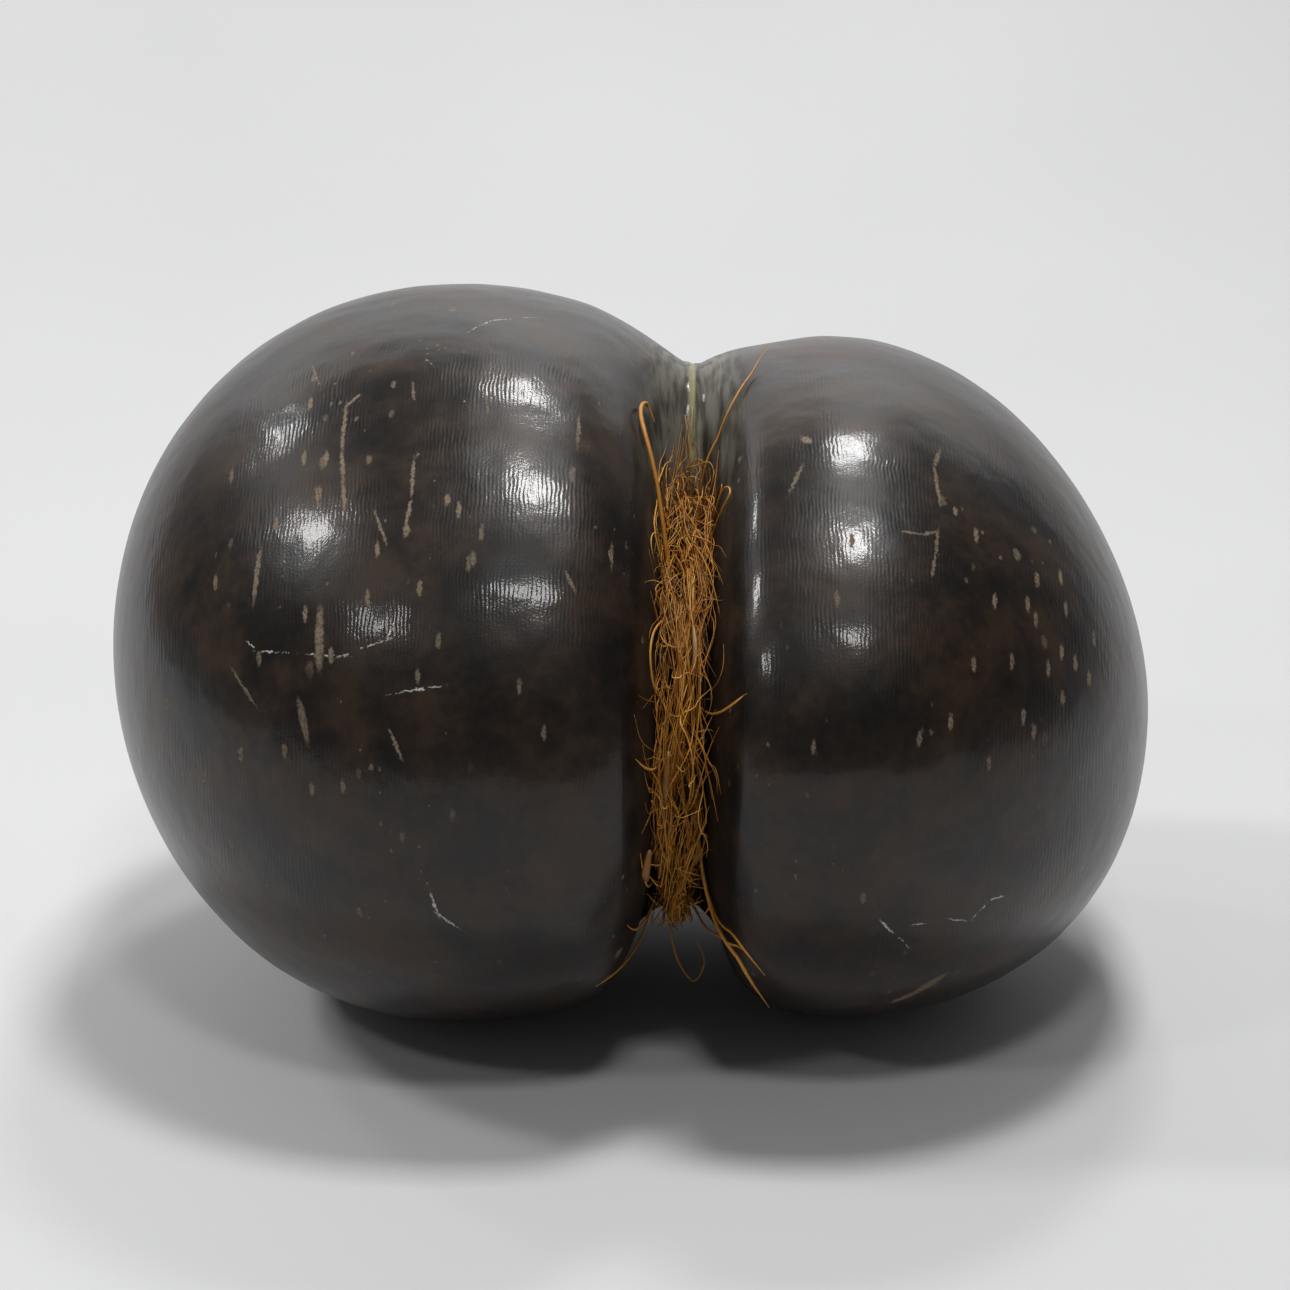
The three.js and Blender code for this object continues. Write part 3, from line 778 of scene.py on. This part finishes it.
def husk_material(finish):
    """Dry husk fibre: each strand its own tone, with painted shade darkening the fibres deep in the tuft,
    and fine streaks along it.
    """
    material, tree, shader = new_material("husk_fibre")
    where = add(tree, "TexCoord").outputs["Object"]
    tone = attribute(tree, "tone")
    streak = grain(tree, where, HUSK_CELLS, detail=3.0)
    tone = maths(tree, "ADD", tone, maths(tree, "MULTIPLY_ADD", streak, *HUSK_TONE), clamp=True)
    base = mixed(tree, mapped(tree, tone, *HUSK_GOLD), finish.husk_dark_and_shade, finish.husk_gold)
    base = mixed(tree, mapped(tree, tone, *HUSK_PALE), base, finish.husk_pale)
    rough = maths(tree, "MULTIPLY_ADD", streak, *HUSK_ROUGHNESS)
    bump = add(tree, "Bump", {"Height": streak, **HUSK_BUMP}).outputs[0]
    fill(tree, shader, {
        "Base Color": base, "Roughness": rough, "Specular IOR Level": HUSK_SPECULAR, "Normal": bump,
    })
    return material


def paper_material(finish):
    """Pale matt paper of the table and backdrop."""
    material, tree, shader = new_material("pale_paper")
    where = add(tree, "TexCoord").outputs["Object"]
    cloud = grain(tree, where, CLOUD_CELLS, detail=1.0)
    darker = tuple(CLOUD_SHADE * channel for channel in finish.paper)
    base = mixed(tree, cloud, darker, finish.paper)
    tooth = grain(tree, where, TOOTH_CELLS, detail=0.0)
    bump = add(tree, "Bump", {"Height": tooth, **TOOTH_BUMP}).outputs[0]
    fill(tree, shader, {"Base Color": base, "Roughness": PAPER_ROUGHNESS, "Normal": bump})
    return material


# Husk tuft

def curve_points(controls, count):
    """Points of a smooth curve through control points, evenly spread over its spans."""
    controls = np.asarray(controls, float)
    padded = np.vstack([2 * controls[0] - controls[1], controls, 2 * controls[-1] - controls[-2]])
    t = np.linspace(0, len(controls) - 1, count)
    span = np.minimum(t.astype(int), len(controls) - 2)
    f = (t - span)[:, None]
    a, b, c, d = (padded[span + k] for k in range(4))
    bend = (2 * a - 5 * b + 4 * c - d) * f ** 2
    twist = (3 * b - a - 3 * c + d) * f ** 3
    return 0.5 * (2 * b + (c - a) * f + bend + twist)


def floor_radius(nut, angle):
    """Radius of the cleft's floor."""
    return shell(nut, cleft_centre(nut, angle), angle)[0]


def shell_around(nut, x, angle, reach):
    """Highest of the shell's radius just left of, at and just right of a station."""
    radii = [shell(nut, x + step, angle)[0] for step in (-reach, 0.0, reach)]
    return np.maximum.reduce(radii)


def room_at(nut, angle, height):
    """Half width of the cleft at a height over its floor."""
    depth, half = cleft(nut, angle)
    filled = np.clip(height / depth, 0.0, MOST_FILLED)
    return half * (filled / (1 - filled)) ** (1 / nut.slot_steepness)


def mat_taper(tuft, angle):
    """How far along the mat an angle is, and how much of its full section is there."""
    along = np.clip((angle - tuft.mat_low_end) / (tuft.mat_top_end - tuft.mat_low_end), *MAT_ENDS)
    return along, np.sqrt(np.sin(np.pi * along))


def mat_height(tuft, angle):
    """Height of the mat's face over the cleft's floor."""
    along, taper = mat_taper(tuft, angle)
    return (tuft.mat_height + tuft.mat_low_rise * (1 - smooth(0.0, MAT_LOW_PART, along))) * taper


def path_in_cleft(nut, offsets, radius, clear):
    """Points from rows of offset, angle and height over the cleft's floor, pushed clear of the shell."""
    offset, angle, height = offsets.T
    x = cleft_centre(nut, angle) + offset
    room = radius + clear
    lowest = shell_around(nut, x, angle, room) + room
    return place(nut, x, angle, np.maximum(floor_radius(nut, angle) + height, lowest))


def tube(path, radii, flat, sides):
    """Points of a closed tube along a path; flat is its thickness as a share of its width."""
    along = np.gradient(path, axis=0)
    along /= np.linalg.norm(along, axis=1)[:, None]
    side = np.array([1.0, 0.0, 0.0])
    turns = np.arange(sides) * 2 * np.pi / sides
    points = []
    for point, way, radius in zip(path, along, radii):
        side = side - way * (side @ way)
        side = side / np.linalg.norm(side)
        other = np.cross(side, way)
        ring = np.outer(np.cos(turns), side) + flat * np.outer(np.sin(turns), other)
        points.append(point + radius * ring)
    return np.vstack(points + [path[:1], path[-1:]])


class Bundle:
    """Strands gathered into one mesh, each with its own tone."""

    def __init__(self):
        self.points, self.faces, self.tones, self.count = [], [], [], 0

    def add(self, points, rings, sides, tone):
        """One closed strand."""
        self.points.append(points)
        self.faces += ring_faces(rings, sides, self.count)
        self.tones.append(np.broadcast_to(tone, (len(points),)))
        self.count += len(points)

    def strand(self, path, radius, tone, sides, flat=1.0):
        """One strand along a path, drawn to a point at its tip."""
        along = np.linspace(0, 1, len(path))
        radii = radius * (1 - TIP_THINNING * smooth(TIP_STARTS, 1.0, along))
        self.add(tube(path, radii, flat, sides), len(path), sides, tone)


def tuft_half(nut, tuft, angle, height):
    """Half width the fibres may fill at an angle and height."""
    along = np.clip((angle - tuft.low_tip) / (tuft.top_tip - tuft.low_tip), *TUFT_ENDS)
    fullness = blend(tuft.low_share, 1.0, smooth(0.0, TUFT_LOW_PART, along))
    own = tuft.half_width * np.sin(np.pi * along) ** TUFT_FULLNESS * fullness
    room = room_at(nut, angle, height) - tuft.clear - tuft.thick
    return np.clip(room, tuft.thick, own)


def hang_at(tuft, angle):
    """Extra height of the fibres where they hang free at the bottom."""
    return tuft.hang * (1 - smooth(tuft.low_tip, tuft.hang_from, angle))


def over_mat(nut, tuft, angle, lift, root):
    """Heights of a fibre whose root is sunk in the mat, and the half width it may fill there."""
    height = mat_height(tuft, angle) + hang_at(tuft, angle) + lift
    height[0] = root * mat_height(tuft, angle[:1])[0]
    return height, tuft_half(nut, tuft, angle, height)


def strand_fibres(nut, tuft, draw, index):
    """Offsets of the fibres of one strand, which lie along each other, and how high the strand lies."""
    inset = math.radians(STRAND_INSET)
    spread = (index + draw.random()) / tuft.strands
    start = blend(tuft.mat_low_end + inset, tuft.mat_top_end - inset, spread)
    run = draw.uniform(tuft.short_run, tuft.long_run)
    falls = start - run > tuft.low_tip and draw.random() < FALLING
    if falls or start + run > tuft.top_tip:
        run = -run
    along = np.linspace(0, 1, STRAND_KNOTS)
    high = draw.random()
    drift = blend(draw.uniform(-DRIFT_ROOT, DRIFT_ROOT), draw.uniform(-DRIFT_TIP, DRIFT_TIP), along)
    wave = draw.uniform(*WAVE_HEIGHT) * MM
    wave = wave * np.sin(2 * math.pi * (along * draw.uniform(*WAVE_COUNT) + draw.random()))
    for _ in range(tuft.fibres_each):
        own_run = run * draw.uniform(*RUN_SPREAD)
        angle = start + draw.normal(0, math.radians(START_SPREAD)) + own_run * along
        angle = np.clip(angle, tuft.low_tip, tuft.top_tip)
        lift = high + draw.normal(0, LIFT_SPREAD) + draw.normal(0, LIFT_WANDER, STRAND_KNOTS)
        lift = tuft.lift * np.clip(lift, 0.0, LIFT_MOST)
        height, half = over_mat(nut, tuft, angle, lift, STRAND_ROOT)
        loose = draw.normal(0, LOOSE_ROOT * MM) + draw.normal(0, LOOSE_TIP * MM) * along ** 2
        loose = loose + draw.normal(0, LOOSE_WANDER * MM, STRAND_KNOTS)
        yield np.stack([drift * half + wave + loose, angle, height], axis=1), high


def frizzy_fibre(nut, tuft, draw):
    """Offsets of a short fibre that lies across the tuft or stands out of it."""
    start = draw.uniform(tuft.mat_low_end, tuft.mat_top_end)
    along = np.linspace(0, 1, FRIZZ_KNOTS)
    run = draw.normal(0, FRIZZ_RUN) * tuft.short_run
    curl = draw.normal(0, FRIZZ_BEND) * tuft.short_run
    angle = np.clip(start + run * along + curl * along ** 2, tuft.low_tip, tuft.top_tip)
    stand = tuft.lift * draw.uniform(*FRIZZ_STAND) * smooth(0.0, STAND_PART, along)
    height, half = over_mat(nut, tuft, angle, stand, SHORT_ROOT)
    sideways = blend(draw.uniform(-FRIZZ_ROOT, FRIZZ_ROOT), draw.uniform(-FRIZZ_TIP, FRIZZ_TIP), along)
    offset = sideways * half + draw.normal(0, FRIZZ_WANDER * MM, FRIZZ_KNOTS)
    return np.stack([offset, angle, height], axis=1)


def curled_fibre(nut, tuft, draw):
    """Offsets of a fibre that comes out of the tuft, curls round in an arc and goes back in."""
    middle = draw.uniform(tuft.mat_low_end, tuft.mat_top_end)
    radius = draw.uniform(*CURL_RADIUS) * MM
    sweep = draw.uniform(*CURL_SWEEP)
    turns = draw.uniform(0, 2 * math.pi) + np.linspace(0, sweep, CURL_KNOTS)
    angle = middle + draw.uniform(*CURL_STRETCH) * radius * np.sin(turns) / nut.front[0]
    angle = np.clip(angle, tuft.low_tip, tuft.top_tip)
    rise = tuft.lift * draw.uniform(*CURL_RISE) * np.sin(np.linspace(*CURL_ARCH, CURL_KNOTS))
    height, half = over_mat(nut, tuft, angle, rise, SHORT_ROOT)
    offset = draw.uniform(-CURL_ASIDE, CURL_ASIDE) * half + radius * np.cos(turns)
    return np.stack([offset, angle, height], axis=1)


def add_fibre(bundle, nut, tuft, draw, offsets, tone):
    """One fibre of the tuft, thin more often than thick."""
    radius = blend(tuft.thin, tuft.thick, draw.random() ** 2)
    path = path_in_cleft(nut, curve_points(offsets, FIBRE_POINTS), radius, tuft.clear)
    bundle.strand(path, radius, np.clip(tone, 0.0, 1.0), FIBRE_SIDES)


def add_fibres(bundle, nut, tuft, draw):
    """The strands, the frizz and the curls."""
    for index in range(tuft.strands):
        shade = draw.normal(*STRAND_TONE)
        for offsets, high in strand_fibres(nut, tuft, draw, index):
            # Painted shade: strands lying deeper in the tuft get darker tones
            tone = HEIGHT_SHADE_TONE * high + shade + draw.normal(0, FIBRE_SPREAD)
            add_fibre(bundle, nut, tuft, draw, offsets, tone)
    for _ in range(tuft.frizz):
        add_fibre(bundle, nut, tuft, draw, frizzy_fibre(nut, tuft, draw), draw.normal(*FRIZZ_TONE))
    for _ in range(tuft.curls):
        add_fibre(bundle, nut, tuft, draw, curled_fibre(nut, tuft, draw), draw.normal(*CURL_TONE))


def add_strays(bundle, nut, tuft, draw):
    """The long strays and the flat chips."""
    scale = np.array([MM, math.radians(1), MM])
    for radius, controls in STRAYS:
        offsets = curve_points(np.array(controls) * scale, STRAY_POINTS)
        path = path_in_cleft(nut, offsets, radius * MM, tuft.clear)
        tone = STRAY_TONE[0] + STRAY_TONE[1] * draw.random()
        bundle.strand(path, radius * MM * STRAY_THICKNESS, tone, STRAY_SIDES)
    for half, controls in CHIPS:
        offsets = curve_points(np.array(controls) * scale, CHIP_POINTS)
        path = path_in_cleft(nut, offsets, half * MM, tuft.clear)
        width = half * MM * np.sin(np.linspace(*CHIP_ENDS, CHIP_POINTS)) ** CHIP_FULLNESS
        points = tube(path, width, CHIP_FLATNESS, STRAY_SIDES)
        bundle.add(points, CHIP_POINTS, STRAY_SIDES, CHIP_TONE)


def add_mat(bundle, nut, tuft):
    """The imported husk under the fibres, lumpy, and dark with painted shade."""
    rings = []
    turns = np.arange(MAT_ROUND) * 2 * math.pi / MAT_ROUND
    for angle in np.linspace(tuft.mat_low_end, tuft.mat_top_end, MAT_STEPS):
        high = float(mat_height(tuft, angle))
        taper = float(mat_taper(tuft, angle)[1])
        spread = angle * MAT_LUMP_STEP
        lump = np.array([noise.noise(Vector((math.cos(t), math.sin(t), spread))) for t in turns])
        height = high * (0.5 - MAT_SWELL * np.cos(turns)) * (1 + MAT_LUMPS * lump)
        widest = tuft.mat_half * blend(MAT_NARROW, 1.0, taper)
        half = np.minimum(room_at(nut, angle, np.maximum(height, tuft.clear)) * MAT_ROOM, widest)
        offset = np.sin(turns) * half * (1 + MAT_LUMPS * lump)
        offsets = np.stack([offset, np.full(MAT_ROUND, angle), height], axis=1)
        rings.append(path_in_cleft(nut, offsets, 0.0, tuft.clear))
    points = np.vstack(rings + [rings[0].mean(0)[None], rings[-1].mean(0)[None]])
    # Painted shade: the mat is given the darkest tone
    bundle.add(points, MAT_STEPS, MAT_ROUND, MAT_SHADE_TONE)


# Stage

def sweep_profile(stage):
    """Side view of the table and backdrop: distance back and height."""
    bend = np.linspace(0, math.pi / 2, SWEEP_STEPS)
    back = stage.sweep_back - stage.sweep_radius + stage.sweep_radius * np.sin(bend)
    height = stage.sweep_radius * (1 - np.cos(bend))
    return [(-stage.table_front, 0.0)] + list(zip(back, height)) + [(stage.sweep_back, stage.sweep_top)]


def flat_lamp(name, place_at, size, stretch, power):
    """A flat lamp, stretched along X, that faces straight down until it is turned."""
    light = bpy.data.lights.new(name, "AREA")
    light.shape = "RECTANGLE"
    light.size = size * stretch
    light.size_y = size
    light.energy = power
    lamp = bpy.data.objects.new(name, light)
    lamp.location = place_at
    bpy.context.scene.collection.objects.link(lamp)
    return lamp


# Operators

class PALMNUT_OT_nut(bpy.types.Operator):
    """Build the nut's fine shell and its finish"""

    bl_idname = "palm_nut.build_nut"
    bl_label = "Build Nut"

    def execute(self, context):
        nut = context.scene.palm_nut
        x = stations(nut)[:, None]
        angle = (np.arange(ROUND_STEPS) * 2 * np.pi / ROUND_STEPS)[None, :]
        radius, _ = shell(nut, x, angle)
        points = place(nut, x, angle, radius).reshape(-1, 3)
        rise = unevenness(nut, points).reshape(radius.shape) * np.minimum(radius / nut.under[0], 1.0)
        points = place(nut, x, angle, radius + rise)
        points[..., 2] = np.maximum(points[..., 2], 0.0)
        tips = [
            (cleft_x(nut) - nut.reach[0], 0.0, nut.tip[0] - nut.foot_cut),
            (cleft_x(nut) + nut.reach[1], 0.0, nut.tip[1] - nut.foot_cut),
        ]
        distance = np.abs(x - cleft_centre(nut, angle))
        depth, half = cleft(nut, angle)
        wall = 1 - smooth(*WALL_EDGE, distance / half)
        wall = wall * smooth(0.0, WALL_DEPTH * nut.slot_depth, depth)
        rises = smooth(*np.radians(GROOVE_RISE), angle)
        falls = 1 - smooth(*np.radians(GROOVE_FALL), angle)
        groove = (1 - smooth(*GROOVE_EDGE, distance / half)) * rises * falls
        seam = seam_rise(nut, distance, angle)
        faces = ring_faces(len(x), ROUND_STEPS)
        marks = {"groove": groove, "wall": wall, "seam": seam}
        marks = {key: np.append(values.ravel(), [0, 0]) for key, values in marks.items()}
        material = shell_material(nut, context.scene.palm_finish)
        piece = new_mesh("nut_shell", np.vstack([points.reshape(-1, 3), tips]), faces, marks, material)
        dress(piece, NUT_NODE)
        return {"FINISHED"}


class PALMNUT_OT_tuft(bpy.types.Operator):
    """Build the tuft of husk fibre in the cleft"""

    bl_idname = "palm_nut.build_tuft"
    bl_label = "Build Husk Tuft"

    def execute(self, context):
        nut, tuft = context.scene.palm_nut, context.scene.palm_tuft
        draw = np.random.default_rng(tuft.seed)
        bundle = Bundle()
        add_mat(bundle, nut, tuft)
        add_fibres(bundle, nut, tuft, draw)
        add_strays(bundle, nut, tuft, draw)
        tones = {"tone": np.concatenate(bundle.tones)}
        material = husk_material(context.scene.palm_finish)
        piece = new_mesh("husk_tuft", np.vstack(bundle.points), bundle.faces, tones, material)
        dress(piece, TUFT_NODE)
        return {"FINISHED"}


class PALMNUT_OT_stage(bpy.types.Operator):
    """Build the table, backdrop, lamps and camera"""

    bl_idname = "palm_nut.build_stage"
    bl_label = "Build Stage"

    def execute(self, context):
        scene, stage = context.scene, context.scene.palm_stage
        profile = sweep_profile(stage)
        ends = (-stage.table_half, stage.table_half)
        points = np.array([(x, y, z) for x in ends for y, z in profile])
        steps = len(profile)
        faces = [(steps + i, steps + i + 1, i + 1, i) for i in range(steps - 1)]
        paper = new_mesh("paper_sweep", points, faces, {}, paper_material(scene.palm_finish))
        for row, lamps, power in (
            ("near", NEAR_LAMPS, stage.lamp_power), ("side", SIDE_LAMPS, stage.side_power)
        ):
            for i, (across, back, bright, stretch) in enumerate(lamps):
                spot = Vector((across, back, 1.0)) * stage.lamp_height
                flat_lamp(f"{row}_lamp_{i}", spot, stage.lamp_size, stretch, power * bright)
        wash = flat_lamp(
            "wash_lamp", stage.wash_place, stage.wash_size, stage.wash_stretch, stage.wash_power
        )
        wash.rotation_euler.x = -stage.wash_turn
        world = bpy.data.worlds.new("dim_room")
        world.use_nodes = True
        background = world.node_tree.nodes["Background"]
        background.inputs["Color"].default_value = (*scene.palm_finish.room, 1.0)
        background.inputs["Strength"].default_value = stage.room_light
        scene.world = world
        camera = bpy.data.objects.new("camera", bpy.data.cameras.new("camera"))
        camera.data.lens = stage.lens
        camera.data.sensor_fit = "HORIZONTAL"
        camera.data.sensor_width = stage.sensor
        camera.location = stage.camera_place
        camera.rotation_euler = (math.pi / 2 - stage.camera_pitch, 0.0, stage.camera_yaw)
        scene.collection.objects.link(camera)
        scene.camera = camera
        scene.view_settings.view_transform = "Standard"
        return {"FINISHED"}


class PALMNUT_PT_panel(bpy.types.Panel):
    """Steps that build the nut"""

    bl_idname = "PALMNUT_PT_panel"
    bl_label = "Palm Nut"
    bl_space_type = "VIEW_3D"
    bl_region_type = "UI"
    bl_category = "Palm Nut"

    def draw(self, context):
        for operator in (PALMNUT_OT_nut, PALMNUT_OT_tuft, PALMNUT_OT_stage):
            self.layout.operator(operator.bl_idname)
        for name in SETTINGS:
            settings = getattr(context.scene, name)
            box = self.layout.box()
            for key in settings.bl_rna.properties.keys():
                if key not in ("rna_type", "name"):
                    box.prop(settings, key)


SETTINGS = {
    "palm_nut": NutSettings,
    "palm_finish": FinishSettings,
    "palm_tuft": TuftSettings,
    "palm_stage": StageSettings,
}
CLASSES = (*SETTINGS.values(), PALMNUT_OT_nut, PALMNUT_OT_tuft, PALMNUT_OT_stage, PALMNUT_PT_panel)


def register():
    for each in CLASSES:
        bpy.utils.register_class(each)
    for name, settings in SETTINGS.items():
        setattr(bpy.types.Scene, name, PointerProperty(type=settings))


def unregister():
    for name in SETTINGS:
        delattr(bpy.types.Scene, name)
    for each in reversed(CLASSES):
        bpy.utils.unregister_class(each)


def main():
    register()
    bpy.ops.palm_nut.build_nut()
    bpy.ops.palm_nut.build_tuft()
    bpy.ops.palm_nut.build_stage()


if __name__ == "__main__":
    main()
